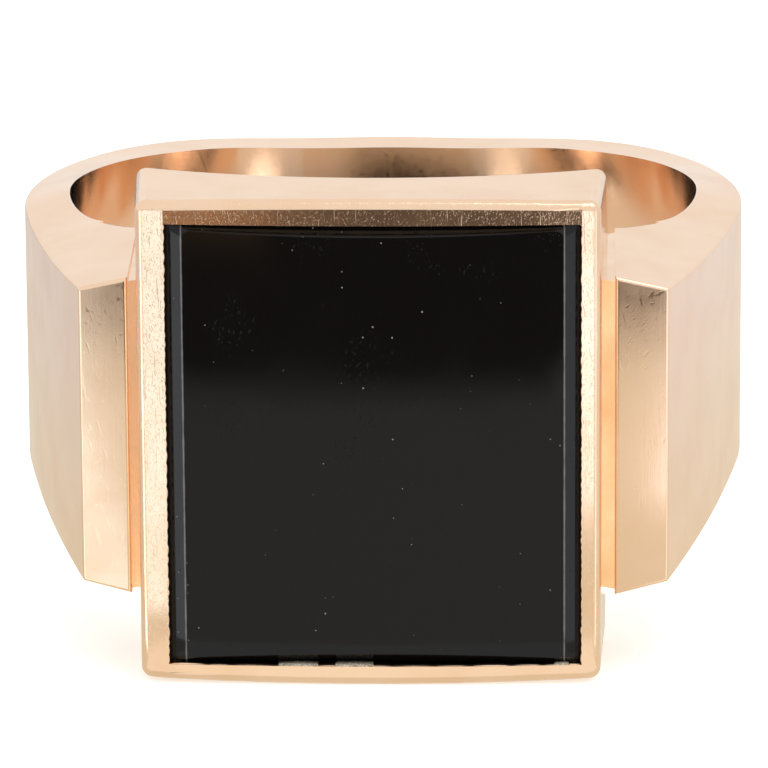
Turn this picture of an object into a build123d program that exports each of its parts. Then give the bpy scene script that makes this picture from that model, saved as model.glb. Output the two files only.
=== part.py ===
from build123d import *
import math
import os

# A man's signet ring: a tapering shank, two stepped shoulders and a deep box head that
# holds a rectangular black onyx tablet. Millimetres. The finger runs along Z, the head
# faces -Y, and the origin is the centre of the finger hole.

# ---- finger hole and shank -------------------------------------------------------------
finger_radius = 10.0            # inside radius of the ring
shank_thickness = 1.44          # metal between finger hole and outside, at the back
shank_half_height_back = 3.09   # half the band's height at the back of the finger
shank_fullness = 0.05           # how much the taper swells between side and back
flat_back_deg = 12.0            # the taper has run out this far before the very back
seam_deg = -30.0                # the shoulders are soldered to the shank here (0 = side)
band_edge_round = 0.11          # softened edges of the shank and shoulders

# ---- shoulders -------------------------------------------------------------------------
slope_height = 6.9              # the shoulders' sloping edges would meet at this half height
edge_slope = 0.245              # how much the half height drops per mm away from the middle
edge_slope_ends_deg = 45.0      # angle behind the sides where that slope has run out
shoulder_start_deg = 8.0        # the outside leaves the round of the shank this far forward
panel_width = 1.5               # width of the flat panel on each shoulder
panel_setback = 0.93            # how far the panel lies behind the crown of the rim
panel_lean = 0.12               # how far the panel's outer edge falls back
step_width = 0.45               # the narrow step between the head's wall and the panel
step_recess = 0.12              # the step starts this far behind the panel
step_fall = 0.3                 # and slopes back by this much towards the head's wall
step_drop = 0.14                # and its ends stop this much short of the shoulder's

# ---- setting ---------------------------------------------------------------------------
window_width = 12.7             # opening of the rim over the stone
window_height = 14.07
setting_drop = 0.085            # the setting sits this far below the middle of the head
lip = 0.1                       # how far the rim is burnished over the stone, each side
lip_depth = 0.25                # thickness of that lip
stone_gap = 0.03                # clearance round the stone and the parts under it
stone_thickness = 1.36          # onyx tablet, at its middle
stone_recess = 0.06             # the stone's table lies this far below the rim's crown
lip_air = 0.0536                # clearance between the stone's girdle and the lip over it
side_bevel_deg = 25.0           # the long sides have broad shallow bevels
end_bevel_deg = 46.0            # the short ends have narrow steep ones
stone_corner = 0.25
cement_thickness = 0.15
cement_margin = 0.4             # the bedding stops this short of the stone's edge
seat_thickness = 0.5            # bearing ledge under the stone
seat_ledge = 1.0                # width of the ledge
seat_clearance = 0.09           # room between the ledge and the plate under it
base_thickness = 0.7            # curved plate that closes the head over the finger

# ---- head ------------------------------------------------------------------------------
rim_side = 0.7                  # mean width of the rim along the stone's long sides
head_shift = 0.14               # the head sits this far to the left of the stone and shank
rim_end = 0.715                 # mean width of the rim across the stone's short ends
side_flare = 0.26               # each side wall spreads this much towards the finger
end_draw_in = 0.1               # each end wall draws in this much towards the finger
head_crown_radius = 92.0        # the rim and the stone are very slightly curved across X
head_bow = 0.12                 # the end walls bulge this much in their middle
head_corner_round = 0.35        # vertical corners of the box
rim_round = 0.27                # rounded outer edge of the rim
rim_fall_deg = 9.0              # the rim's two long sides are worked down towards the outside
wall_run_out = 0.24             # the side walls are drawn this far past the finger hole
saddle_margin = 0.0875          # the underside fits the finger this far past the shoulders
saddle_flatten = 6.3            # how much wider than the finger its curve is at the end walls
saddle_end_gap = 0.42           # how far the underside stands off the finger there
overhang_round = 0.12           # softened edge all round the overhanging underside

# ---- worked out from the sizes above -----------------------------------------------------
outer_radius = finger_radius + shank_thickness
seam_y = finger_radius * math.sin(math.radians(seam_deg))
half_height_side = slope_height - edge_slope * finger_radius
cavity_width = window_width + 2 * lip
cavity_height = window_height + 2 * lip
head_width_front = window_width + 2 * rim_side
head_width_back = head_width_front + 2 * side_flare
head_height_front = window_height + 2 * rim_end
head_height_back = head_height_front - 2 * end_draw_in
seat_back = finger_radius + saddle_end_gap + base_thickness + seat_clearance
seat_front = seat_back + seat_thickness
stone_back = seat_front + cement_thickness
stone_top = stone_back + stone_thickness
head_front = stone_top + stone_recess
crown_drop = head_crown_radius - math.sqrt(head_crown_radius**2 - (cavity_width / 2) ** 2)
stone_girdle = head_front - lip_depth - crown_drop - lip_air
wall_end = math.sqrt(finger_radius**2 - (head_width_back / 2) ** 2)
head_depth = head_front - wall_end + wall_run_out
panel_front = head_front - panel_setback
panel_inner_x = head_width_front / 2 + step_width
panel_outer_x = panel_inner_x + panel_width
inner_x = {-1: panel_inner_x, 1: panel_inner_x - head_shift}    # the left and right panel start here
shoulder_top = slope_height - edge_slope * panel_inner_x
saddle_start_z = shoulder_top + saddle_margin
saddle_end_z = head_height_back / 2
saddle_end_radius = finger_radius + saddle_flatten
tall = head_height_front + 2 * outer_radius     # clears everything, for plan outlines


def half_height(angle_deg, radius):
    """Half the shank's height on a ray at angle_deg (0 = side, 90 = back of the finger)."""
    across = math.cos(math.radians(angle_deg))
    if angle_deg <= 0:
        return slope_height - edge_slope * radius * across
    run = min(1.0, angle_deg / (90.0 - flat_back_deg))
    inside = half_height_side + (shank_half_height_back - half_height_side) * run
    inside += shank_fullness * (1.0 - (2.0 * run - 1.0) ** 2)
    slope = edge_slope * across * max(0.0, 1.0 - angle_deg / edge_slope_ends_deg)
    return inside - slope * (radius - finger_radius)


def shank_heights():
    """Solid whose top and bottom are the shank's edge faces, lofted round the finger."""
    near = 0.75 * finger_radius
    far = 1.5 * finger_radius
    half_turn = range(-45, 90, 15)
    angles = [*half_turn, 90, *(180 - a for a in reversed(half_turn))]
    sections = []
    for angle in angles:
        folded = min(angle, 180 - angle)
        z_near = half_height(folded, near)
        z_far = half_height(folded, far)
        ray = Vector(math.cos(math.radians(angle)), math.sin(math.radians(angle)), 0)
        plane = Plane(origin=(0, 0, 0), x_dir=ray, z_dir=ray.cross(Vector(0, 0, 1)))
        outline = Polygon((near, z_near), (far, z_far), (far, -z_far), (near, -z_near), align=None)
        sections.append(plane * outline)
    return loft(Sketch() + sections)


def shoulder_heights():
    """Solid between the two flat slopes that run out from the head over the shoulders."""
    reach = 1.3 * outer_radius
    z_mid = slope_height
    z_far = slope_height - edge_slope * reach
    outline = Polygon(
        (0, z_mid), (reach, z_far), (reach, -z_far), (0, -z_mid), (-reach, -z_far), (-reach, z_far),
        align=None,
    )
    return extrude(Plane.XZ * outline, 2 * panel_front, dir=(0, -1, 0))


def band_plan():
    """Outline of the shank and shoulders seen along the finger, without the finger hole."""
    start = math.radians(shoulder_start_deg)
    leave = Vector(outer_radius * math.cos(start), -outer_radius * math.sin(start))
    heading = Vector(-math.sin(start), -math.cos(start))
    corner = Vector(panel_outer_x, -(panel_front - panel_lean))
    inner = Vector(inner_x[1], -panel_front)
    left_inner = Vector(-inner_x[-1], -panel_front)
    right = TangentArc(leave, corner, tangent=heading)
    panel = Line(corner, inner)
    across = Line(inner, left_inner)
    left_panel = Line(left_inner, Vector(-corner.X, corner.Y))
    left = mirror(right, about=Plane.YZ)
    back = ThreePointArc(leave, Vector(0, outer_radius), Vector(-leave.X, leave.Y))
    return make_face(Curve() + [right, panel, across, left_panel, left, back])


def block(x0, x1, y0, y1, z0, z1):
    """Plain box between two corners."""
    return Pos((x0 + x1) / 2, (y0 + y1) / 2, (z0 + z1) / 2) * Box(x1 - x0, y1 - y0, z1 - z0)


def finger_hole(extra=0.0):
    """The finger, flaring off towards the head's two ends, grown by extra."""
    r = finger_radius + extra
    end_r = saddle_end_radius + extra
    end_y = end_r - (finger_radius + saddle_end_gap + extra)
    rise = saddle_end_z - saddle_start_z
    reach = 1.4                 # the flare is drawn this many times its height, past the end walls
    far_r = r + (end_r - r) * reach
    far_y = end_y * reach
    flare = loft(
        Sketch()
        + [
            Plane.XY.offset(saddle_start_z) * Circle(r),
            Plane.XY.offset(saddle_start_z + rise * reach) * Pos(0, far_y) * Circle(far_r),
        ],
        ruled=True,
    )
    core = Cylinder(r, 2 * saddle_start_z)
    return core + flare + mirror(flare, about=Plane.XY)


def head_plane(distance):
    """Sketch plane across the head: local x is X, local y is Z, and it faces out of the head."""
    return Plane(origin=(0, -distance, 0), x_dir=(1, 0, 0), z_dir=(0, -1, 0))


def crown(distance):
    """Large round bar whose surface is the head's slight curve, at a distance from the finger."""
    return Pos(0, head_crown_radius - distance, 0) * Cylinder(head_crown_radius, 2 * tall)


def head_block():
    """Outside of the box head before it is hollowed, from rim to finger."""

    plan = Polygon(
        (head_width_front / 2, -head_front), (head_width_back / 2, head_depth - head_front),
        (-head_width_back / 2, head_depth - head_front), (-head_width_front / 2, -head_front),
        align=None,
    )
    end_radius = ((head_width_front / 2) ** 2 + head_bow**2) / (2 * head_bow)
    draw = math.atan(end_draw_in / head_depth)
    end_axis = Plane(
        origin=(0, -head_front, head_height_front / 2 - end_radius / math.cos(draw)),
        x_dir=(1, 0, 0),
        z_dir=(0, math.cos(draw), -math.sin(draw)),
    )
    top = end_axis * Cylinder(end_radius, tall)
    box = extrude(plan, tall / 2, both=True) & top & mirror(top, about=Plane.XY)
    box = Pos(-head_shift, 0, 0) * box
    window_edge = window_width / 2
    edge_front = head_front - head_crown_radius + math.sqrt(head_crown_radius**2 - window_edge**2)
    fall = math.tan(math.radians(rim_fall_deg))
    ridge = edge_front + window_edge * fall
    eave = ridge - head_width_back * fall
    gable = Polygon(
        (0, -ridge), (head_width_back, -eave), (head_width_back, 0), (-head_width_back, 0),
        (-head_width_back, -eave),
        align=None,
    )
    box = box & crown(head_front) & extrude(gable, tall, both=True)
    corners = [e for e in box.edges() if abs((e @ 1 - e @ 0).Y) > head_depth / 2]
    box = fillet(corners, head_corner_round)
    rim_zone = head_depth / 10
    behind_rim = rim_zone - head_front
    front_edges = [e for e in box.edges() if max(v.Y for v in e.vertices()) < behind_rim]
    return fillet(front_edges, rim_round)


def prism(width, height, y0, y1):
    """Rectangular block centred on the setting's axis between two depths."""
    middle = -setting_drop
    return block(-width / 2, width / 2, -y1, -y0, middle - height / 2, middle + height / 2)


behind_seam = block(-tall, tall, seam_y, tall, -tall, tall)
head_solid = head_block() - behind_seam


def make_collet():
    """Four walls of the head with the rim burnished over the stone."""
    walls = head_solid - finger_hole()
    overhang = saddle_start_z + saddle_margin / 2
    underside = [e for e in walls.edges() if min(v.Y for v in e.vertices()) > -finger_radius]
    overhang_rim = [e for e in underside if abs(e.center().Z) > overhang]
    walls = fillet(overhang_rim, overhang_round)
    cavity = prism(cavity_width, cavity_height, 0, head_front) & crown(head_front - lip_depth)
    window = prism(window_width, window_height, 0, 2 * head_front)
    return walls - cavity - window


def make_base():
    """Curved plate that closes the head against the finger."""
    fill = prism(cavity_width, cavity_height, 0, seat_back)
    plate = finger_hole(base_thickness) - finger_hole()
    return fill & plate


def make_seat():
    """Flat bearing ledge soldered inside the walls, open in the middle."""
    frame = prism(cavity_width, cavity_height, seat_back, seat_front)
    opening = prism(cavity_width - 2 * seat_ledge, cavity_height - 2 * seat_ledge, 0, head_front)
    return frame - opening


def make_cement():
    """Thin bedding between ledge and stone."""
    margin = 2 * cement_margin
    return prism(cavity_width - margin, cavity_height - margin, seat_front, stone_back)


def make_stone():
    """Rectangular onyx tablet: straight girdle, four bevels and a very slightly crowned table."""
    width = cavity_width - 2 * stone_gap
    height = cavity_height - 2 * stone_gap
    rise = stone_top - stone_girdle
    side_inset = rise / math.tan(math.radians(side_bevel_deg))
    end_inset = rise / math.tan(math.radians(end_bevel_deg))
    slab = head_plane(stone_back) * RectangleRounded(width, height, stone_corner)
    slab = extrude(slab, stone_girdle - stone_back)
    girdle = RectangleRounded(width, height, stone_corner)
    table = RectangleRounded(width - 2 * side_inset, height - 2 * end_inset, stone_corner)
    bevels = loft(
        Sketch() + [head_plane(stone_girdle) * girdle, head_plane(stone_top) * table],
        ruled=True,
    )
    return Pos(0, 0, -setting_drop) * (slab + bevels) & crown(stone_top)


def soften(solid, head_side_x=0.0):
    """Round the free edges of a band piece; its soldered faces keep sharp edges."""
    near = band_edge_round / 10
    free = []
    for edge in solid.edges():
        middle = edge.center()
        on_seam = abs(middle.Y - seam_y) < near
        beside_head = abs(middle.X - head_side_x) < near
        panel_ridge = beside_head and middle.Y < near - panel_front
        if panel_ridge or not (beside_head or on_seam):
            free.append(edge)
    return fillet(free, band_edge_round)


def make_shank():
    """The part of the ring behind the shoulders."""
    return soften((band_stock & behind_seam) & shank_heights())


def make_shoulder(side):
    """Wedge beside the head with a flat panel on its front; side is -1 left, 1 right."""
    head_side_x = side * inner_x[side]
    low, high = sorted((head_side_x, side * tall))
    before_seam = block(low, high, -tall, seam_y, -tall, tall)
    return soften((band_stock & before_seam) & shoulder_heights(), head_side_x)


def make_step(side):
    """Thin packing plate between the head's wall and a shoulder, which shows as a slanting step."""
    x_wall = head_width_front / 2 - head_corner_round
    front = panel_front - step_recess
    plan = Polygon(
        (side * inner_x[side], -front), (side * x_wall, step_fall - front), (side * x_wall, seam_y),
        (side * inner_x[side], seam_y),
        align=None,
    )
    plate = extrude(plan, shoulder_top - step_drop, both=True)
    return plate - head_solid - Cylinder(finger_radius, tall)


band_stock = extrude(band_plan(), tall / 2, both=True) - Cylinder(finger_radius, 2 * tall)

pieces = {
    "shank": make_shank(),
    "shoulder_left": make_shoulder(-1),
    "shoulder_right": make_shoulder(1),
    "step_plate_left": make_step(-1),
    "step_plate_right": make_step(1),
    "head_collet": make_collet(),
    "head_base_plate": make_base(),
    "stone_seat": make_seat(),
    "bedding_cement": make_cement(),
    "onyx_stone": make_stone(),
}

os.makedirs("parts", exist_ok=True)
for node, solid in pieces.items():
    export_step(solid, f"parts/{node}.step")
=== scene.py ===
"""Signet ring with a black onyx tablet: finishes, setting details and studio, built round the CAD frame."""

import math
import random

import bmesh
import bpy
from bpy.props import FloatProperty, FloatVectorProperty, IntProperty, PointerProperty
from mathutils import Matrix, Vector


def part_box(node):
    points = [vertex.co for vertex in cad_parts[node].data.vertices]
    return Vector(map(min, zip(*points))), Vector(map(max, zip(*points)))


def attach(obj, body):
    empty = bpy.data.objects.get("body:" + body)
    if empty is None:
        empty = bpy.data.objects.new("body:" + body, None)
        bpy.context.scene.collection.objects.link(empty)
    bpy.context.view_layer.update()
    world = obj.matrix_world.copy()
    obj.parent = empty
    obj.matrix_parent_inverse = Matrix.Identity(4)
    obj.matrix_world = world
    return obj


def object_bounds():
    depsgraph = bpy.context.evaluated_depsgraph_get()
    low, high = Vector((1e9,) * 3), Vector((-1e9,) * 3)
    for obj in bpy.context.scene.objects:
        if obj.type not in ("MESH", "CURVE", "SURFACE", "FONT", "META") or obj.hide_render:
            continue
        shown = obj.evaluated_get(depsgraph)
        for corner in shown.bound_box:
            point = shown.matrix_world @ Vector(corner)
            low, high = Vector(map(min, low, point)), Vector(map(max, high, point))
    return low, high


bl_info = {
    "name": "Signet Ring",
    "version": (1, 0, 0),
    "blender": (4, 5, 0),
    "location": "3D View > Sidebar > Signet Ring",
    "description": "Gold and onyx finishes, burnished setting and studio for a stepped signet ring",
    "category": "Object",
}

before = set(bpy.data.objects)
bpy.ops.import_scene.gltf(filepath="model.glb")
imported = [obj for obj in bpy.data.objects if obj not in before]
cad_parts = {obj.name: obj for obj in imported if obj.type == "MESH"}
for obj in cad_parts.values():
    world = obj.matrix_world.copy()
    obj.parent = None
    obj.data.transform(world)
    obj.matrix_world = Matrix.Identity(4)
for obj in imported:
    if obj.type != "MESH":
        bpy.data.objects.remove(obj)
cad_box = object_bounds()
MM = 0.001                      # one millimetre in metres

collet_low, collet_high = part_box("head_collet")
stone_low, stone_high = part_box("onyx_stone")

CROWN_RADIUS = 92.0 * MM        # the rim and the stone share this slight curve across X
BEVEL_RISE = 0.47 * MM          # height of the stone's bevels
SIDE_BEVEL = math.tan(math.radians(25.0))       # slope of the long sides' bevels
END_BEVEL = math.tan(math.radians(46.0))        # slope of the short ends' bevels
WINDOW_INSET = 0.07 * MM        # the rim's opening is this much smaller than the stone, each side
stone_half_z = (stone_high.z - stone_low.z) / 2
setting_z = (stone_high.z + stone_low.z) / 2
window_x = stone_high.x - WINDOW_INSET
window_z = stone_half_z - WINDOW_INSET
girdle = -stone_low.y - BEVEL_RISE

BAND_WALL = 1.44                # thickness of the band, in millimetres
hole_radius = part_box("shank")[1].x / MM - BAND_WALL
LIP_ROOT = 0.04 * MM            # how far the burnished metal reaches back into the rim
LIP_AIR = 0.008 * MM            # hair's breadth between it and the stone

# where plaster is left in the groove: start and end across, and height, in millimetres
RESIDUE = ((-2.98, -1.73, 0.07), (-1.37, 0.1, 0.07), (5.5, 6.0, 0.06))
RESIDUE_STEPS = 14
RESIDUE_LIFT = 0.012 * MM       # it stands this much proud of the metal lip

# the dark card in front, in millimetres from the finger axis
CARD_HEAD_X = 10.0              # half the width of its nearer part
CARD_START = 41.6               # where it begins in front of the head
CARD_START_WIDE = 46.8          # and where beside it
CARD_SHIFT = 1.5                # it lies this far to the left of the ring's middle
CARD_FADE = 4.2                 # depth of its soft front edge in front of the head
CARD_FADE_WIDE = 2.8            # and beside it
CARD_BASE = 5.7                 # half width it would have under the ring
CARD_SPREAD = 0.2               # how fast the half width grows with distance
CARD_SIDE_FADE = 3.0            # width of its soft sides
CARD_STEP = 2.0                 # distance over which the nearer part gives way to the wide part

# the painted shade disc under the finger hole, with its two painted glints, in millimetres from the finger
# axis
SHADE_DISC_RADIUS = 9.0
GLINT_X = 6.2                   # the two glints lie this far to each side
GLINT_OUT = 4.4                 # and this far towards the head

PAPER_WHITE = (1.0, 1.0, 1.0)

# heights of the cards above the floor
WHITE_CARD_HEIGHT = 0.1 * MM
DARK_CARD_HEIGHT = 0.2 * MM
COPPER_CARD_HEIGHT = 0.25 * MM  # on top of the dark one
SHADE_DISC_HEIGHT = 0.3 * MM

BAND_NODES = ("shank", "shoulder_left", "shoulder_right")
STEP_NODES = ("step_plate_left", "step_plate_right")
INNER_NODES = ("head_base_plate", "stone_seat")


def linear(hex_colour):
    """Linear RGB of an sRGB hex colour."""
    values = [int(hex_colour[i : i + 2], 16) / 255 for i in (1, 3, 5)]
    return tuple(v / 12.92 if v <= 0.04045 else ((v + 0.055) / 1.055) ** 2.4 for v in values)


def crown_drop(x):
    """How far the rim and the stone fall back from their middle at a distance x across."""
    return x * x / (2 * CROWN_RADIUS)


def ridge_x():
    """Distance from the middle to the ridge between the stone's table and its side bevels."""
    rise = BEVEL_RISE - stone_high.x * SIDE_BEVEL
    return CROWN_RADIUS * (SIDE_BEVEL - math.sqrt(SIDE_BEVEL**2 + 2 * rise / CROWN_RADIUS))


def opaque(colour):
    """The same colour with full alpha."""
    return (*colour, 1.0)


# ---- sizes and colours a user would change ------------------------------------------------------


class GoldFinish(bpy.types.PropertyGroup):
    """Rose gold and the marks of the tools that finished it."""

    colour: FloatVectorProperty(
        name="Rose gold", description="Reflected colour of the alloy", subtype="COLOR", size=3,
        min=0, max=1, default=linear("#F8D9BD"),
    )
    worn_colour: FloatVectorProperty(
        name="Warmer patches", description="Colour where copper shows through more", subtype="COLOR",
        size=3, min=0, max=1, default=linear("#F4D2B3"),
    )
    inner_colour: FloatVectorProperty(
        name="Finger hole", description="Colour of the hole's wall, set a little paler than outside",
        subtype="COLOR", size=3, min=0, max=1, default=linear("#FAE4D2"),
    )
    satin_roughness: FloatProperty(
        name="Satin roughness", description="Roughness of the emery-finished faces", subtype="FACTOR",
        min=0, max=1, default=0.15,
    )
    polish_roughness: FloatProperty(
        name="Polish roughness", description="Roughness of the buffed faces", subtype="FACTOR",
        min=0, max=1, default=0.09,
    )
    emery_pitch: FloatProperty(
        name="Emery line pitch", description="Distance between the fine lines of the satin faces",
        unit="LENGTH", default=0.07 * MM,
    )
    grain_size: FloatProperty(
        name="Grain size", description="Size of the pits the emery leaves", unit="LENGTH", default=0.03 * MM,
    )
    scratch_pitch: FloatProperty(
        name="Scratch pitch", description="Mean distance between wear scratches", unit="LENGTH",
        default=0.16 * MM,
    )


class OnyxFinish(bpy.types.PropertyGroup):
    """Polished black onyx."""

    colour: FloatVectorProperty(
        name="Onyx", description="Body colour of the stone", subtype="COLOR", size=3, min=0, max=1,
        default=linear("#0B0908"),
    )
    # also the colour of the painted highlight along the stone's ridges
    dust_and_highlight_colour: FloatVectorProperty(
        name="Dust", description="Colour of the specks of dust on the table", subtype="COLOR", size=3,
        min=0, max=1, default=linear("#B9B2AC"),
    )
    ior: FloatProperty(name="IOR", description="Index of refraction", min=1, max=3, default=1.39)
    roughness: FloatProperty(
        name="Roughness", description="Roughness of the polished table", subtype="FACTOR", min=0, max=1,
        default=0.05,
    )
    dust_pitch: FloatProperty(
        name="Dust pitch", description="Mean distance between specks", unit="LENGTH", default=0.3 * MM,
    )


class SettingSizes(bpy.types.PropertyGroup):
    """The metal pushed over the stone."""

    nibble_pitch: FloatProperty(
        name="Nibble pitch", description="Distance between the burnisher's marks along the long sides",
        unit="LENGTH", default=0.3 * MM,
    )
    nibble_depth: FloatProperty(
        name="Nibble depth", description="How far each mark pushes metal over the stone", unit="LENGTH",
        default=0.09 * MM,
    )
    end_pitch: FloatProperty(
        name="End pitch", description="Distance between the unevennesses along the short ends",
        unit="LENGTH", default=0.9 * MM,
    )
    end_depth: FloatProperty(
        name="End unevenness", description="How uneven the lip is along the two short ends",
        unit="LENGTH", default=0.06 * MM,
    )
    seed: IntProperty(name="Seed", description="Changes the pattern of the marks", default=4)


class StudioSetup(bpy.types.PropertyGroup):
    """Camera, floor and lights."""

    elevation: FloatProperty(
        name="Elevation", description="Camera height above the horizon", subtype="ANGLE",
        default=math.radians(16.5),
    )
    azimuth: FloatProperty(
        name="Azimuth", description="Camera angle to the right of the head", subtype="ANGLE",
        default=math.radians(1.48),
    )
    roll: FloatProperty(
        name="Roll", description="Camera tilt about its own axis", subtype="ANGLE",
        default=math.radians(0.37),
    )
    distance: FloatProperty(
        name="Distance", description="Camera to the centre of the finger hole", unit="LENGTH",
        default=252 * MM,
    )
    lens: FloatProperty(name="Lens", description="Focal length in mm", default=367.97)
    drop: FloatProperty(
        name="Aim drop", description="Angle the camera looks below the centre of the finger hole",
        subtype="ANGLE", default=math.radians(0.452),
    )
    floor_radius: FloatProperty(
        name="Floor radius", description="Size of the round floor", unit="LENGTH", default=1.6,
    )
    floor_left: FloatProperty(
        name="Floor, left", description="How bright the metal sees the floor on the left", default=0.74,
    )
    floor_right: FloatProperty(
        name="Floor, right", description="How bright the metal sees the floor on the right", default=0.88,
    )
    front_tint: FloatVectorProperty(
        name="Floor tint in front", description="Warmth the floor in front of the ring has in the metal",
        subtype="COLOR", size=3, min=0, max=1, default=(1.0, 0.93, 0.78),
    )
    floor_glow: FloatProperty(name="Floor glow", description="Light coming through the floor", default=0.4)
    sky: FloatProperty(name="Sky", description="Brightness of the white studio dome", default=0.96)
    key_power: FloatProperty(name="Key light", description="Power of the softbox in watts", default=1.0)
    segments: IntProperty(name="Floor segments", description="Corners of the floor", default=96)


# ---- materials ------------------------------------------------------------------------------------


def add(tree, kind, settings=None, links=None):
    """Adds a node: settings are its properties or input values, links its inputs and what feeds them."""
    made = tree.nodes.new(kind)
    for name, value in (settings or {}).items():
        if isinstance(name, int) or name in made.inputs:
            made.inputs[name].default_value = value
        else:
            setattr(made, name, value)
    for name, source in (links or {}).items():
        tree.links.new(source, made.inputs[name])
    return made


def new_material(name):
    """Empty node material with its tree."""
    made = bpy.data.materials.new(name)
    made.use_nodes = True
    made.node_tree.nodes.clear()
    return made, made.node_tree


def place_in_mm(tree):
    """The point being shaded, in millimetres of the ring's own frame."""
    coords = add(tree, "ShaderNodeTexCoord")
    return add(
        tree, "ShaderNodeVectorMath", {"operation": "SCALE", "Scale": 1 / MM},
        {0: coords.outputs["Object"]},
    ).outputs["Vector"]


def streaks(tree, place, pitch, length, turn, detail=2.0):
    """Noise drawn out into lines: pitch apart, length long (mm), along X before the turn (radians)."""
    turned = add(tree, "ShaderNodeMapping", {"vector_type": "TEXTURE", "Rotation": turn}, {0: place})
    squeezed = add(
        tree, "ShaderNodeMapping", {"Scale": (1 / length, 1 / pitch, 1 / pitch)},
        {0: turned.outputs[0]},
    )
    return add(
        tree, "ShaderNodeTexNoise", {"Scale": 1.0, "Detail": detail}, {"Vector": squeezed.outputs[0]}
    ).outputs["Fac"]


def cloud(tree, place, size, detail=3.0):
    """Soft noise whose patches are about size millimetres across."""
    return add(
        tree, "ShaderNodeTexNoise", {"Scale": 1 / size, "Detail": detail}, {"Vector": place}
    ).outputs["Fac"]


def spread(tree, value, low, high, out_low=0.0, out_high=1.0):
    """Stretches the range low..high of a value to out_low..out_high, clamped."""
    return add(
        tree, "ShaderNodeMapRange", {1: low, 2: high, 3: out_low, 4: out_high}, {0: value}
    ).outputs[0]


def calc(tree, operation, first, second):
    """Arithmetic on two values, each a number or a socket."""
    settings = {"operation": operation}
    links = {}
    for slot, term in enumerate((first, second)):
        if isinstance(term, (int, float)):
            settings[slot] = term
        else:
            links[slot] = term
    return add(tree, "ShaderNodeMath", settings, links).outputs[0]


def blend_colours(tree, amount, first, second):
    """Mix of two plain colours by a value."""
    return add(
        tree, "ShaderNodeMix", {"data_type": "RGBA", 6: opaque(first), 7: opaque(second)}, {0: amount}
    ).outputs[2]


def scratches(tree, place, pitch, seeds):
    """Thin straight scratches lying in several directions, as a value from 0 to 1."""
    total = None
    for seed in seeds:
        lines = streaks(tree, place, pitch / 3, pitch * 9, (seed * 1.1, seed * 0.4, seed * 2.3), 1.0)
        thin = spread(tree, lines, 0.66, 0.74)
        total = thin if total is None else calc(tree, "MAXIMUM", total, thin)
    return total


def facing(tree, axis, low, high):
    """1 where the surface faces along an axis (0, 1, 2) with either sign, 0 where it doesn't."""
    normal = add(tree, "ShaderNodeTexCoord").outputs["Normal"]
    part = add(tree, "ShaderNodeSeparateXYZ", {}, {0: normal}).outputs[axis]
    return spread(tree, calc(tree, "ABSOLUTE", part, 0.0), low, high)


def inside_hole(tree, place):
    """1 on the wall of the finger hole, 0 elsewhere."""
    flat = add(tree, "ShaderNodeVectorMath", {"operation": "MULTIPLY", 1: (1, 1, 0)}, {0: place})
    reach = add(tree, "ShaderNodeVectorMath", {"operation": "LENGTH"}, {0: flat.outputs[0]})
    return spread(tree, reach.outputs["Value"], hole_radius + 0.01, hole_radius + 0.05, 1.0, 0.0)


def gold_shader(tree, colour, roughness, bump):
    """Metal with a varying colour, roughness and relief."""
    shader = add(
        tree, "ShaderNodeBsdfPrincipled", {"Metallic": 1.0},
        {"Base Color": colour, "Roughness": roughness, "Normal": bump},
    )
    add(tree, "ShaderNodeOutputMaterial", {}, {"Surface": shader.outputs[0]})


def emery_satin_rose_gold():
    """18 ct rose gold drawn over fine emery paper along the finger. The pits break reflections into
    a soft glow, and fine upright lines catch the light; the wall of the finger hole is smoother."""
    finish = bpy.context.scene.signet_gold
    made, tree = new_material("emery_satin_rose_gold")
    place = place_in_mm(tree)
    pitch = finish.emery_pitch / MM
    grain_mm = finish.grain_size / MM
    lines = streaks(tree, place, pitch, pitch * 30, (0, math.pi / 2, 0), 1.0)
    grain = cloud(tree, place, grain_mm, 2.0)
    patches = cloud(tree, place, 2.4)
    wear = scratches(tree, place, 3 * finish.scratch_pitch / MM, (1, 2, 3))
    colour = blend_colours(tree, spread(tree, patches, 0.38, 0.66), finish.colour, finish.worn_colour)
    rough = spread(tree, patches, 0.3, 0.7, finish.satin_roughness - 0.04, finish.satin_roughness + 0.06)
    rough = calc(tree, "SUBTRACT", rough, calc(tree, "MULTIPLY", wear, 0.06))
    relief = calc(tree, "ADD", calc(tree, "MULTIPLY", lines, 0.3), calc(tree, "MULTIPLY", grain, 0.5))
    relief = calc(tree, "SUBTRACT", relief, calc(tree, "MULTIPLY", wear, 0.25))
    inside = inside_hole(tree, place)
    relief = calc(tree, "MULTIPLY", relief, spread(tree, inside, 0.0, 1.0, 1.0, 0.15))
    rough = calc(tree, "SUBTRACT", rough, calc(tree, "MULTIPLY", inside, 0.05))
    colour = add(
        tree, "ShaderNodeMix", {"data_type": "RGBA", 7: opaque(finish.inner_colour)},
        {0: inside, 6: colour},
    ).outputs[2]
    bump = add(tree, "ShaderNodeBump", {"Strength": 0.4, "Distance": 0.003 * MM}, {"Height": relief})
    gold_shader(tree, colour, rough, bump.outputs[0])
    return made


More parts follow.
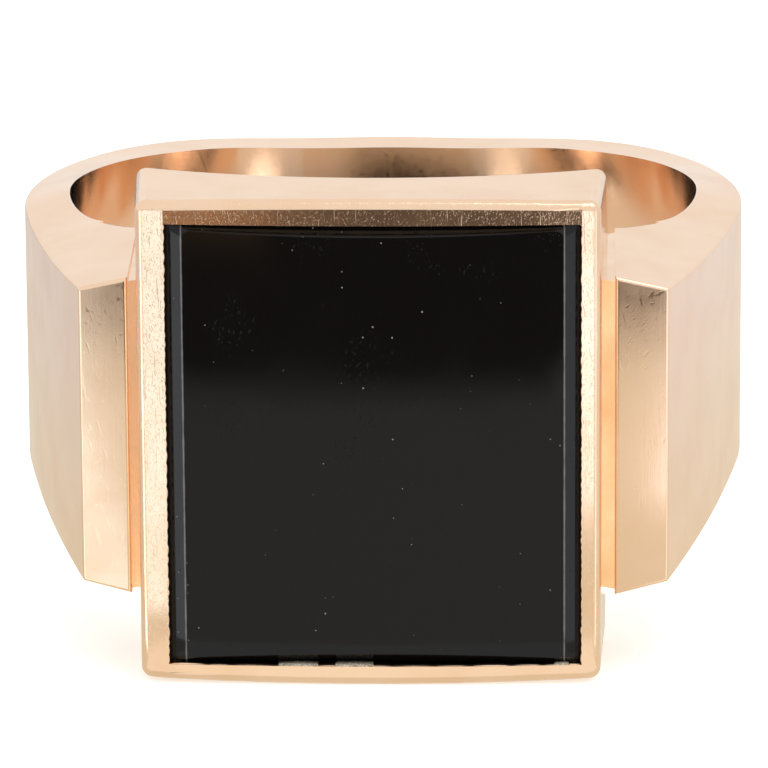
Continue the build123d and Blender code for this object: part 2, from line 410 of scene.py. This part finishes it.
def hand_worn_rose_gold():
    """18 ct rose gold of the box head: end walls drawn crosswise over emery, and a buffed rim covered
    in the short fine scratches of years of wear, which sparkle against dark reflections."""
    finish = bpy.context.scene.signet_gold
    made, tree = new_material("hand_worn_rose_gold")
    place = place_in_mm(tree)
    pitch = finish.emery_pitch / MM
    on_rim = facing(tree, 1, 0.55, 0.8)
    lines = streaks(tree, place, pitch, pitch * 26, (0, 0, 0))
    grain = cloud(tree, place, finish.grain_size / MM, 2.0)
    patches = cloud(tree, place, 2.0)
    wear = scratches(tree, place, finish.scratch_pitch / MM, (1, 2, 3, 4, 5))
    colour = blend_colours(tree, spread(tree, patches, 0.4, 0.68), finish.colour, finish.worn_colour)
    rough_wall = spread(tree, patches, 0.3, 0.7, finish.satin_roughness - 0.05, finish.satin_roughness + 0.05)
    rough_rim = spread(tree, patches, 0.3, 0.7, finish.polish_roughness, finish.polish_roughness + 0.08)
    rough = add(
        tree, "ShaderNodeMix", {"data_type": "FLOAT"}, {0: on_rim, 2: rough_wall, 3: rough_rim}
    ).outputs[0]
    satin = calc(tree, "ADD", lines, calc(tree, "MULTIPLY", grain, 0.6))
    buffed = calc(tree, "ADD", calc(tree, "MULTIPLY", wear, -1.0), calc(tree, "MULTIPLY", grain, 0.9))
    relief = add(
        tree, "ShaderNodeMix", {"data_type": "FLOAT"}, {0: on_rim, 2: satin, 3: buffed}
    ).outputs[0]
    bump = add(tree, "ShaderNodeBump", {"Strength": 0.5, "Distance": 0.003 * MM}, {"Height": relief})
    gold_shader(tree, colour, rough, bump.outputs[0])
    return made


def buffed_rose_gold():
    """18 ct rose gold buffed with rouge on the narrow steps and the inside of the head: mirror-like, with
    upright hairlines and a slight orange-peel waviness."""
    finish = bpy.context.scene.signet_gold
    made, tree = new_material("buffed_rose_gold")
    place = place_in_mm(tree)
    pitch = finish.emery_pitch / MM
    hairlines = streaks(tree, place, pitch, pitch * 40, (0, math.pi / 2, 0))
    waves = cloud(tree, place, 0.9, 1.0)
    colour = blend_colours(tree, spread(tree, waves, 0.4, 0.7), finish.colour, finish.worn_colour)
    rough = spread(tree, waves, 0.3, 0.7, finish.polish_roughness, finish.polish_roughness + 0.07)
    relief = calc(tree, "ADD", calc(tree, "MULTIPLY", hairlines, 0.5), calc(tree, "MULTIPLY", waves, 2.0))
    bump = add(tree, "ShaderNodeBump", {"Strength": 0.4, "Distance": 0.003 * MM}, {"Height": relief})
    gold_shader(tree, colour, rough, bump.outputs[0])
    return made


def burnished_rose_gold():
    """18 ct rose gold pressed over the stone's edge with a steel burnisher: bright, and rippled by the
    separate strokes."""
    finish = bpy.context.scene.signet_gold
    made, tree = new_material("burnished_rose_gold")
    place = place_in_mm(tree)
    ripples = cloud(tree, place, 0.12, 2.0)
    colour = blend_colours(tree, ripples, finish.colour, finish.worn_colour)
    rough = spread(tree, ripples, 0.3, 0.7, finish.polish_roughness, finish.satin_roughness)
    bump = add(tree, "ShaderNodeBump", {"Strength": 0.6, "Distance": 0.01 * MM}, {"Height": ripples})
    gold_shader(tree, colour, rough, bump.outputs[0])
    return made


def polished_black_onyx():
    """Dyed black chalcedony, lapped and polished: deep black with a glassy skin, a few hairline scratches
    from wear, scattered specks of dust that read as pale pinpoints, and a painted highlight along the ridges
    between the table and the side bevels."""
    finish = bpy.context.scene.signet_onyx
    made, tree = new_material("polished_black_onyx")
    place = place_in_mm(tree)
    pitch = finish.dust_pitch / MM
    cells = add(
        tree, "ShaderNodeTexVoronoi", {"feature": "F1", "Scale": 1 / pitch, "Randomness": 1.0},
        {"Vector": place},
    )
    chance = add(tree, "ShaderNodeSeparateXYZ", {}, {0: cells.outputs["Color"]})
    reach = spread(tree, chance.outputs[0], 0.6, 1.0, 0.0, 0.1)
    near = calc(tree, "LESS_THAN", cells.outputs["Distance"], reach)
    dust = calc(tree, "MULTIPLY", near, spread(tree, chance.outputs[1], 0.0, 1.0, 0.15, 1.0))
    worn = scratches(tree, place, 0.22, (2, 5))
    rare = spread(tree, cloud(tree, place, 2.0), 0.55, 0.65)
    worn = calc(tree, "MULTIPLY", worn, rare)
    across = calc(tree, "ABSOLUTE", add(tree, "ShaderNodeSeparateXYZ", {}, {0: place}).outputs[0], 0.0)
    wander = calc(tree, "MULTIPLY", calc(tree, "SUBTRACT", cloud(tree, place, 0.5), 0.5), 0.04)
    # painted highlight: a pale line along the ridge between the table and each side bevel
    off_ridge = calc(tree, "ABSOLUTE", calc(tree, "SUBTRACT", across, ridge_x() / MM + 0.01), 0.0)
    off_ridge = calc(tree, "ADD", off_ridge, wander)
    painted_ridge_highlight = spread(tree, off_ridge, 0.01, 0.035, 0.28, 0.0)
    packed = spread(tree, calc(tree, "ADD", across, wander), window_x / MM - 0.17, window_x / MM - 0.13)
    # the dust specks and the painted ridge highlight share one pale colour
    pale = calc(tree, "MAXIMUM", calc(tree, "MULTIPLY", dust, 0.5), painted_ridge_highlight)
    pale = calc(tree, "MULTIPLY", pale, calc(tree, "SUBTRACT", 1.0, packed))
    colour = blend_colours(tree, pale, finish.colour, finish.dust_and_highlight_colour)
    smudge = cloud(tree, place, 1.6)
    rough = spread(tree, smudge, 0.3, 0.7, finish.roughness, finish.roughness + 0.06)
    marked = calc(tree, "ADD", calc(tree, "ADD", worn, dust), packed)
    rough = calc(tree, "ADD", rough, calc(tree, "MULTIPLY", marked, 0.3))
    bump = add(tree, "ShaderNodeBump", {"Strength": 0.3, "Distance": 0.003 * MM}, {"Height": worn})
    shader = add(
        tree, "ShaderNodeBsdfPrincipled",
        {"IOR": finish.ior, "Specular Tint": opaque((0.82, 0.88, 1.0))},
        {"Base Color": colour, "Roughness": rough, "Normal": bump.outputs[0]},
    )
    add(tree, "ShaderNodeOutputMaterial", {}, {"Surface": shader.outputs[0]})
    return made


def set_bedding_cement():
    """Stone-setter's shellac cement, cast dark: a matte brown-black mass with tiny bubbles."""
    made, tree = new_material("set_bedding_cement")
    place = place_in_mm(tree)
    mottling = cloud(tree, place, 0.3)
    colour = blend_colours(tree, mottling, linear("#17110D"), linear("#3A2A1E"))
    rough = spread(tree, mottling, 0.3, 0.7, 0.6, 0.9)
    bump = add(tree, "ShaderNodeBump", {"Strength": 0.6, "Distance": 0.02 * MM}, {"Height": mottling})
    shader = add(
        tree, "ShaderNodeBsdfPrincipled", {},
        {"Base Color": colour, "Roughness": rough, "Normal": bump.outputs[0]},
    )
    add(tree, "ShaderNodeOutputMaterial", {}, {"Surface": shader.outputs[0]})
    return made


def dried_plaster():
    """Plaster from setting the stone, dried in the groove: pale, matte and crumbly."""
    made, tree = new_material("dried_plaster")
    crumbs = cloud(tree, place_in_mm(tree), 0.06, 3.0)
    shades = blend_colours(tree, spread(tree, crumbs, 0.35, 0.6), linear("#7D6E59"), linear("#D8CFBD"))
    bump = add(tree, "ShaderNodeBump", {"Strength": 0.7, "Distance": 0.02 * MM}, {"Height": crumbs})
    shader = add(
        tree, "ShaderNodeBsdfPrincipled", {"Roughness": 0.85},
        {"Base Color": shades, "Normal": bump.outputs[0]},
    )
    add(tree, "ShaderNodeOutputMaterial", {}, {"Surface": shader.outputs[0]})
    return made


def matte_white_acrylic():
    """Matte white acrylic sheet, lit from below so that shadows on it stay faint. The metal sees it a
    little dimmer on the left than on the right, as it would under a softbox on that side."""
    setup = bpy.context.scene.signet_studio
    made, tree = new_material("matte_white_acrylic")
    place = place_in_mm(tree)
    clouding = cloud(tree, place, 40.0)
    colour = blend_colours(tree, clouding, linear("#F8F8F8"), linear("#FBFBFB"))
    across = add(tree, "ShaderNodeSeparateXYZ", {}, {0: place}).outputs[0]
    shade = spread(tree, across, -30.0, 30.0, setup.floor_left, setup.floor_right)
    beside = spread(tree, calc(tree, "ABSOLUTE", across, 0.0), 15.0, 27.0)
    tint = blend_colours(tree, beside, setup.front_tint, (1.0, 0.97, 0.98))
    mirrored = add(tree, "ShaderNodeEmission", {}, {"Color": tint, "Strength": shade})
    sheet = add(
        tree, "ShaderNodeBsdfPrincipled",
        {"Roughness": 0.9, "Emission Color": opaque(PAPER_WHITE), "Emission Strength": setup.floor_glow},
        {"Base Color": colour},
    )
    path = add(tree, "ShaderNodeLightPath")
    mixed = add(
        tree, "ShaderNodeMixShader", {},
        {0: path.outputs["Is Glossy Ray"], 1: sheet.outputs[0], 2: mirrored.outputs[0]},
    )
    add(tree, "ShaderNodeOutputMaterial", {}, {"Surface": mixed.outputs[0]})
    return made


def painted_shade_and_glints():
    """Painted shade under the finger hole, on a disc that only reflections see: black in the middle, lighter
    on the left, with two painted glints that the polished wall of the hole picks up."""
    made, tree = new_material("painted_shade_and_glints")
    place = place_in_mm(tree)
    parts = add(tree, "ShaderNodeSeparateXYZ", {}, {0: place})
    # painted shade: black in the middle, lighter towards the left
    shade = spread(tree, parts.outputs[0], -3.0, 3.0, 0.5, 0.06)
    middle = spread(tree, calc(tree, "ABSOLUTE", parts.outputs[0], 0.0), 2.6, 4.4)
    shade = calc(tree, "MULTIPLY", shade, spread(tree, middle, 0.0, 1.0, 0.02, 1.0))
    folded = add(tree, "ShaderNodeVectorMath", {"operation": "ABSOLUTE"}, {0: place})
    across = add(tree, "ShaderNodeSeparateXYZ", {}, {0: folded.outputs[0]}).outputs[0]
    # two painted glints, one to each side
    off_x = calc(tree, "SUBTRACT", across, GLINT_X)
    off_y = calc(tree, "ADD", parts.outputs[1], GLINT_OUT)
    off = calc(tree, "ADD", calc(tree, "MULTIPLY", off_x, off_x), calc(tree, "MULTIPLY", off_y, off_y))
    glint = spread(tree, off, 1.0, 5.0, 3.6, 0.0)
    strength = calc(tree, "ADD", shade, glint)
    glow = add(tree, "ShaderNodeEmission", {"Color": opaque((1.0, 0.98, 0.95))}, {"Strength": strength})
    add(tree, "ShaderNodeOutputMaterial", {}, {"Surface": glow.outputs[0]})
    return made


def bounce_paper(card):
    """Plain card as bright and as warm as its entry in the list says."""
    return card_paper("white_card", card["tint"], card["strength"])


def card_paper(name, tint, strength):
    """Plain studio card that only reflections show, as bright as it is set."""
    made, tree = new_material(name)
    glow = add(tree, "ShaderNodeEmission", {"Color": opaque(tint), "Strength": strength})
    add(tree, "ShaderNodeOutputMaterial", {}, {"Surface": glow.outputs[0]})
    return made


def soft_edged_dark_card():
    """Dark brown card with soft edges. It begins nearer in front of the head than beside it, and
    widens with distance."""
    made, tree = new_material("soft_edged_dark_card")
    parts = add(tree, "ShaderNodeSeparateXYZ", {}, {0: place_in_mm(tree)})
    across = calc(tree, "ABSOLUTE", calc(tree, "ADD", parts.outputs[0], CARD_SHIFT), 0.0)
    out = calc(tree, "MULTIPLY", parts.outputs[1], -1.0)
    wide_x = CARD_HEAD_X + CARD_STEP
    start = spread(tree, across, CARD_HEAD_X, wide_x, CARD_START, CARD_START_WIDE)
    fade = spread(tree, across, CARD_HEAD_X, wide_x, CARD_FADE, CARD_FADE_WIDE)
    covered = spread(tree, calc(tree, "DIVIDE", calc(tree, "SUBTRACT", out, start), fade), 0.0, 1.0)
    half_width = calc(tree, "ADD", calc(tree, "MULTIPLY", out, CARD_SPREAD), CARD_BASE)
    sides = spread(tree, calc(tree, "SUBTRACT", across, half_width), 0.0, CARD_SIDE_FADE, 1.0, 0.0)
    amount = calc(tree, "MULTIPLY", covered, sides)
    dark = add(tree, "ShaderNodeEmission", {"Color": opaque((1.0, 0.78, 0.62)), "Strength": 0.1})
    clear = add(tree, "ShaderNodeBsdfTransparent")
    mixed = add(
        tree, "ShaderNodeMixShader", {}, {0: amount, 1: clear.outputs[0], 2: dark.outputs[0]}
    )
    add(tree, "ShaderNodeOutputMaterial", {}, {"Surface": mixed.outputs[0]})
    return made


def wedge(sign, inner_deg, outer_deg, near=2.0 * MM):
    """Corners of a card that fans out beside the head between two directions from straight ahead."""
    far = 80.0 * MM
    start = collet_high.x * 0.95
    corners = []
    for reach, angle in ((near, inner_deg), (near, outer_deg), (far, outer_deg), (far, inner_deg)):
        x = start + reach * math.tan(math.radians(angle))
        corners.append((sign * x, collet_low.y - reach))
    return corners


def patch(x0, x1, out0, out1):
    """Corners of a rectangular card, in millimetres across and out in front of the head."""
    y0, y1 = collet_low.y - out0 * MM, collet_low.y - out1 * MM
    return [(x0 * MM, y0), (x1 * MM, y0), (x1 * MM, y1), (x0 * MM, y1)]


# cards that light the rim's two long sides, the slanting steps and the foot of the head, and a
# copper-coloured one that shows at the left of the rim's upper end
BOUNCE_CARDS = (
    {"name": "left", "corners": wedge(-1, 17, 29, 6 * MM), "tint": (0.9, 1.0, 1.07), "strength": 1.4},
    {
        "name": "right", "corners": wedge(1, 15.5, 28, 16 * MM), "tint": (1.0, 1.0, 1.1),
        "strength": 1.8,
    },
    {"name": "step_left", "corners": wedge(-1, 40, 60), "tint": (1.0, 1.0, 0.95), "strength": 2.1},
    {"name": "step_right", "corners": wedge(1, 42, 58), "tint": (1.0, 1.0, 0.95), "strength": 1.5},
    {"name": "foot", "corners": patch(-8, 8, 0.2, 3.5), "tint": (1.0, 0.95, 0.84), "strength": 1.0},
    {
        "name": "copper", "corners": patch(-18, -9, 48.5, 56), "tint": (1.0, 0.53, 0.22),
        "strength": 0.8, "height": COPPER_CARD_HEIGHT,
    },
)


def paint(node_names, material):
    """Puts one material on CAD nodes."""
    for name in node_names:
        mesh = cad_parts[name].data
        mesh.materials.clear()
        mesh.materials.append(material)


# ---- pieces ---------------------------------------------------------------------------------------


def make_piece(name, bm, material):
    """Turns a bmesh into a smooth-shaded piece that rides on the ring."""
    mesh = bpy.data.meshes.new(name)
    bmesh.ops.recalc_face_normals(bm, faces=bm.faces)
    bm.to_mesh(mesh)
    bm.free()
    mesh.materials.append(material)
    piece = bpy.data.objects.new(name, mesh)
    bpy.context.collection.objects.link(piece)
    for face in mesh.polygons:
        face.use_smooth = True
    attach(piece, "root")
    return piece


class SIGNET_OT_band(bpy.types.Operator):
    """Finish the shank and the two shoulders with fine emery"""

    bl_idname = "signet.band"
    bl_label = "Band finish"

    def execute(self, context):
        paint(BAND_NODES, emery_satin_rose_gold())
        return {"FINISHED"}


class SIGNET_OT_head(bpy.types.Operator):
    """Finish the box head and its rim"""

    bl_idname = "signet.head"
    bl_label = "Head finish"

    def execute(self, context):
        paint(("head_collet",), hand_worn_rose_gold())
        return {"FINISHED"}


class SIGNET_OT_steps(bpy.types.Operator):
    """Finish the narrow steps and the parts inside the head"""

    bl_idname = "signet.steps"
    bl_label = "Steps and inner parts"

    def execute(self, context):
        paint(STEP_NODES + INNER_NODES, buffed_rose_gold())
        return {"FINISHED"}


class SIGNET_OT_stone(bpy.types.Operator):
    """Polish the onyx tablet and give its bedding a finish"""

    bl_idname = "signet.stone"
    bl_label = "Stone and bedding"

    def execute(self, context):
        paint(("onyx_stone",), polished_black_onyx())
        paint(("bedding_cement",), set_bedding_cement())
        return {"FINISHED"}


def nibbles(rng, half_length, pitch, depth):
    """Marks of the burnisher from end to end: (place, reach) pairs, with a notch between lobes."""
    place = -half_length
    points = [(place, 0.0)]
    steps = 6
    while place < half_length:
        width = min(pitch * rng.uniform(0.65, 1.5), half_length - place)
        reach = depth * rng.uniform(0.45, 1.0)
        for step in range(1, steps + 1):
            share = step / steps
            points.append((place + width * share, reach * math.sin(math.pi * share) ** 0.6))
        place += max(width, 0.02 * MM)
    return points


def strip(name, sections, material):
    """Closed strip through cross-sections that all have the same number of points."""
    bm = bmesh.new()
    rings = [[bm.verts.new(point) for point in section] for section in sections]
    count = len(rings[0])
    for first, second in zip(rings, rings[1:]):
        for i in range(count):
            j = (i + 1) % count
            bm.faces.new((first[i], first[j], second[j], second[i]))
    bm.faces.new(rings[0])
    bm.faces.new(rings[-1][::-1])
    return make_piece(name, bm, material)


def side_lip(side, place, reach):
    """Cross-section of the lip on a long side, where the burnisher pushed it reach over the stone."""
    root = window_x + LIP_ROOT
    crest = window_x - 0.35 * reach
    toe = window_x - reach - 0.01 * MM
    rim = -collet_low.y - crown_drop(window_x)
    bevel_root = girdle + (stone_high.x - root) * SIDE_BEVEL
    bevel_toe = girdle + (stone_high.x - toe) * SIDE_BEVEL + LIP_AIR
    points = ((root, rim - 0.02 * MM), (crest, rim - 0.04 * MM), (toe, bevel_toe), (root, bevel_root))
    return [(side * x, -y, setting_z + place) for x, y in points]


def end_lip(end, place, reach):
    """Cross-section of the lip across a short end."""
    root = window_z + LIP_ROOT
    crest = window_z - 0.35 * reach
    toe = window_z - reach - 0.01 * MM
    rim = -collet_low.y - crown_drop(place)
    bevel_toe = girdle + (stone_half_z - toe) * END_BEVEL
    bevel_toe = min(bevel_toe, -stone_low.y - crown_drop(place)) + LIP_AIR
    points = ((root, rim - 0.02 * MM), (crest, rim - 0.05 * MM), (toe, bevel_toe), (root, bevel_toe))
    return [(place, -y, setting_z + end * z) for z, y in points]


class SIGNET_OT_lips(bpy.types.Operator):
    """Burnish the rim over the stone, mark by mark"""

    bl_idname = "signet.lips"
    bl_label = "Burnished lips"

    def execute(self, context):
        sizes = context.scene.signet_setting
        rng = random.Random(sizes.seed)
        gold = burnished_rose_gold()
        for side, word in ((-1, "left"), (1, "right")):
            marks = nibbles(rng, window_z - 0.02 * MM, sizes.nibble_pitch, sizes.nibble_depth)
            strip(f"burnished_lip_{word}", [side_lip(side, *m) for m in marks], gold)
        for end, word in ((-1, "bottom"), (1, "top")):
            marks = nibbles(rng, window_x - 0.02 * MM, sizes.end_pitch, sizes.end_depth)
            strip(f"burnished_lip_{word}", [end_lip(end, *m) for m in marks], gold)
        return {"FINISHED"}


class SIGNET_OT_residue(bpy.types.Operator):
    """Leave bits of dried setter's plaster in the groove below the stone"""

    bl_idname = "signet.residue"
    bl_label = "Plaster residue"

    def execute(self, context):
        rng = random.Random(context.scene.signet_setting.seed)
        chalk = dried_plaster()
        for number, (start, end, height) in enumerate(RESIDUE):
            marks = []
            for step in range(RESIDUE_STEPS + 1):
                share = step / RESIDUE_STEPS
                reach = height * math.sin(math.pi * share) ** 0.3 * rng.uniform(0.75, 1.0)
                marks.append(((start + (end - start) * share) * MM, max(reach, 0.02) * MM))
            sections = [end_lip(-1, *mark) for mark in marks]
            lifted = [[(x, y - RESIDUE_LIFT, z) for x, y, z in section] for section in sections]
            strip(f"plaster_residue_{number + 1}", lifted, chalk)
        return {"FINISHED"}


class SIGNET_OT_stage(bpy.types.Operator):
    """Set out the floor, the lights, the dark card and the camera"""

    bl_idname = "signet.stage"
    bl_label = "Studio"

    def execute(self, context):
        setup = context.scene.signet_studio
        lay_floor(setup)
        set_cards()
        light_studio(setup)
        place_camera(setup)
        context.scene.view_settings.view_transform = "Standard"
        return {"FINISHED"}


def stage_object(name, bm, material):
    """Mesh object that belongs to the studio, not to the ring."""
    mesh = bpy.data.meshes.new(name)
    bm.to_mesh(mesh)
    bm.free()
    mesh.materials.append(material)
    made = bpy.data.objects.new(name, mesh)
    bpy.context.collection.objects.link(made)
    return made


def lay_floor(setup):
    """Round pale floor under the lowest point of the ring."""
    bm = bmesh.new()
    bmesh.ops.create_circle(bm, cap_ends=True, segments=setup.segments, radius=setup.floor_radius)
    bmesh.ops.translate(bm, vec=(0, 0, cad_box[0].z), verts=bm.verts)
    stage_object("studio_floor", bm, matte_white_acrylic())


def hidden_card(name, corners, height, material):
    """Flat card just above the floor that the camera doesn't see and that casts no shade."""
    bm = bmesh.new()
    bm.faces.new([bm.verts.new((x, y, cad_box[0].z + height)) for x, y in corners])
    card = stage_object(name, bm, material)
    card.visible_camera = False
    card.visible_diffuse = False
    card.visible_shadow = False


def set_cards():
    """Cards round the ring that give its polished faces something to reflect."""
    near, far, wide = -0.03, -0.9, 0.5
    hidden_card(
        "dark_card", [(-wide, far), (wide, far), (wide, near), (-wide, near)], DARK_CARD_HEIGHT,
        soft_edged_dark_card(),
    )
    for card in BOUNCE_CARDS:
        height = card.get("height", WHITE_CARD_HEIGHT)
        hidden_card(f"bounce_card_{card['name']}", card["corners"], height, bounce_paper(card))
    # disc under the finger hole with painted shade and two painted glints, seen only in reflections
    corners = 48
    turns = [2 * math.pi * i / corners for i in range(corners)]
    disc = [(SHADE_DISC_RADIUS * MM * math.cos(a), SHADE_DISC_RADIUS * MM * math.sin(a)) for a in turns]
    hidden_card("painted_shade_disc", disc, SHADE_DISC_HEIGHT, painted_shade_and_glints())


def light_studio(setup):
    """White dome, and a softbox above to the right."""
    world = bpy.data.worlds.new("white_studio")
    world.use_nodes = True
    tree = world.node_tree
    tree.nodes.clear()
    dome = add(tree, "ShaderNodeBackground", {"Color": opaque((1.0, 0.985, 0.965)), "Strength": setup.sky})
    seen = add(tree, "ShaderNodeBackground", {"Color": opaque(PAPER_WHITE), "Strength": 1.0})
    path = add(tree, "ShaderNodeLightPath")
    mixed = add(
        tree, "ShaderNodeMixShader", {},
        {0: path.outputs["Is Camera Ray"], 1: dome.outputs[0], 2: seen.outputs[0]},
    )
    add(tree, "ShaderNodeOutputWorld", {}, {"Surface": mixed.outputs[0]})
    bpy.context.scene.world = world
    lamp = bpy.data.lights.new("softbox", "AREA")
    lamp.energy = setup.key_power
    lamp.size = 0.5
    key = bpy.data.objects.new("softbox", lamp)
    key.location = (0.35, -0.25, 0.75)
    key.rotation_mode = "QUATERNION"
    key.rotation_quaternion = key.location.to_track_quat("Z", "Y")
    bpy.context.collection.objects.link(key)


def place_camera(setup):
    """Camera on its sphere round the finger hole, rolled and aimed a little below the centre."""
    back = Vector(
        (
            math.sin(setup.azimuth) * math.cos(setup.elevation),
            -math.cos(setup.azimuth) * math.cos(setup.elevation),
            math.sin(setup.elevation),
        )
    )
    right = Vector((math.cos(setup.azimuth), math.sin(setup.azimuth), 0))
    up = back.cross(right)
    turn = Matrix((right, up, back)).transposed()
    turn = turn @ Matrix.Rotation(-setup.roll, 3, "Z") @ Matrix.Rotation(-setup.drop, 3, "X")
    lens = bpy.data.cameras.new("camera")
    lens.lens = setup.lens
    lens.sensor_width = 36.0
    lens.clip_start = 0.01
    lens.clip_end = 10.0
    camera = bpy.data.objects.new("camera", lens)
    camera.location = back * setup.distance
    camera.rotation_mode = "QUATERNION"
    camera.rotation_quaternion = turn.to_quaternion()
    bpy.context.collection.objects.link(camera)
    bpy.context.scene.camera = camera


class SIGNET_PT_workbench(bpy.types.Panel):
    """The ring's workbench"""

    bl_idname = "SIGNET_PT_workbench"
    bl_label = "Signet Ring"
    bl_space_type = "VIEW_3D"
    bl_region_type = "UI"
    bl_category = "Signet Ring"

    def draw(self, context):
        for operator in OPERATORS:
            self.layout.operator(operator.bl_idname)


GROUPS = {
    "signet_gold": GoldFinish,
    "signet_onyx": OnyxFinish,
    "signet_setting": SettingSizes,
    "signet_studio": StudioSetup,
}
OPERATORS = (
    SIGNET_OT_band, SIGNET_OT_head, SIGNET_OT_steps, SIGNET_OT_stone, SIGNET_OT_lips,
    SIGNET_OT_residue, SIGNET_OT_stage,
)


def register():
    """Adds the ring's settings, operators and panel to Blender."""
    for group in GROUPS.values():
        bpy.utils.register_class(group)
    for name, group in GROUPS.items():
        setattr(bpy.types.Scene, name, PointerProperty(type=group))
    for made in (*OPERATORS, SIGNET_PT_workbench):
        bpy.utils.register_class(made)


def unregister():
    """Takes them away again."""
    for made in (SIGNET_PT_workbench, *reversed(OPERATORS)):
        bpy.utils.unregister_class(made)
    for name, group in GROUPS.items():
        delattr(bpy.types.Scene, name)
        bpy.utils.unregister_class(group)


def main():
    """Builds the ring."""
    register()
    bpy.ops.signet.band()
    bpy.ops.signet.head()
    bpy.ops.signet.steps()
    bpy.ops.signet.stone()
    bpy.ops.signet.lips()
    bpy.ops.signet.residue()
    bpy.ops.signet.stage()


if __name__ == "__main__":
    main()
